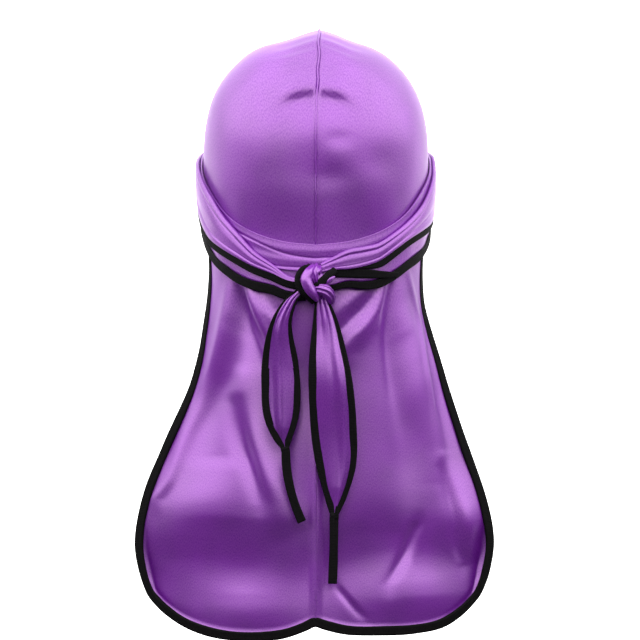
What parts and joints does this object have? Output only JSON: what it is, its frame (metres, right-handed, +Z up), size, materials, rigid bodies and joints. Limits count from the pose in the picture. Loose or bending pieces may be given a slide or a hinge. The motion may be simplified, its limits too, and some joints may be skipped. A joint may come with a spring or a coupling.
{
  "type": "durag",
  "caption": "Purple satin durag tied at the nape, with a raised crown seam, black bound edges, a long flap and two hanging tails.",
  "frame": {"origin": "inside the crown, on the seam line, where the top of the wearer's head rests", "axes": "+Z up, +Y the way the wearer faces, +X to the wearer's right"},
  "size_m": [0.2501, 0.2208, 0.4257],
  "materials": {
    "satin": "purple polyester satin, smooth and glossy",
    "binding": "black matte binding tape, finely ribbed"
  },
  "bodies": {
    "root": {"left_panel": "satin", "right_panel": "satin", "centre_seam": "satin", "inner_wrap": "satin", "strap_left": "satin", "strap_right": "satin", "knot": "satin", "tail_left": "satin", "tail_right": "satin", "flap_binding": "binding", "strap_left_binding_upper": "binding", "strap_left_binding_lower": "binding", "strap_right_binding_upper": "binding", "strap_right_binding_lower": "binding", "knot_binding_loop": "binding", "knot_binding_cross": "binding", "tail_left_binding": "binding", "tail_right_binding": "binding"}
  },
  "joints": []
}
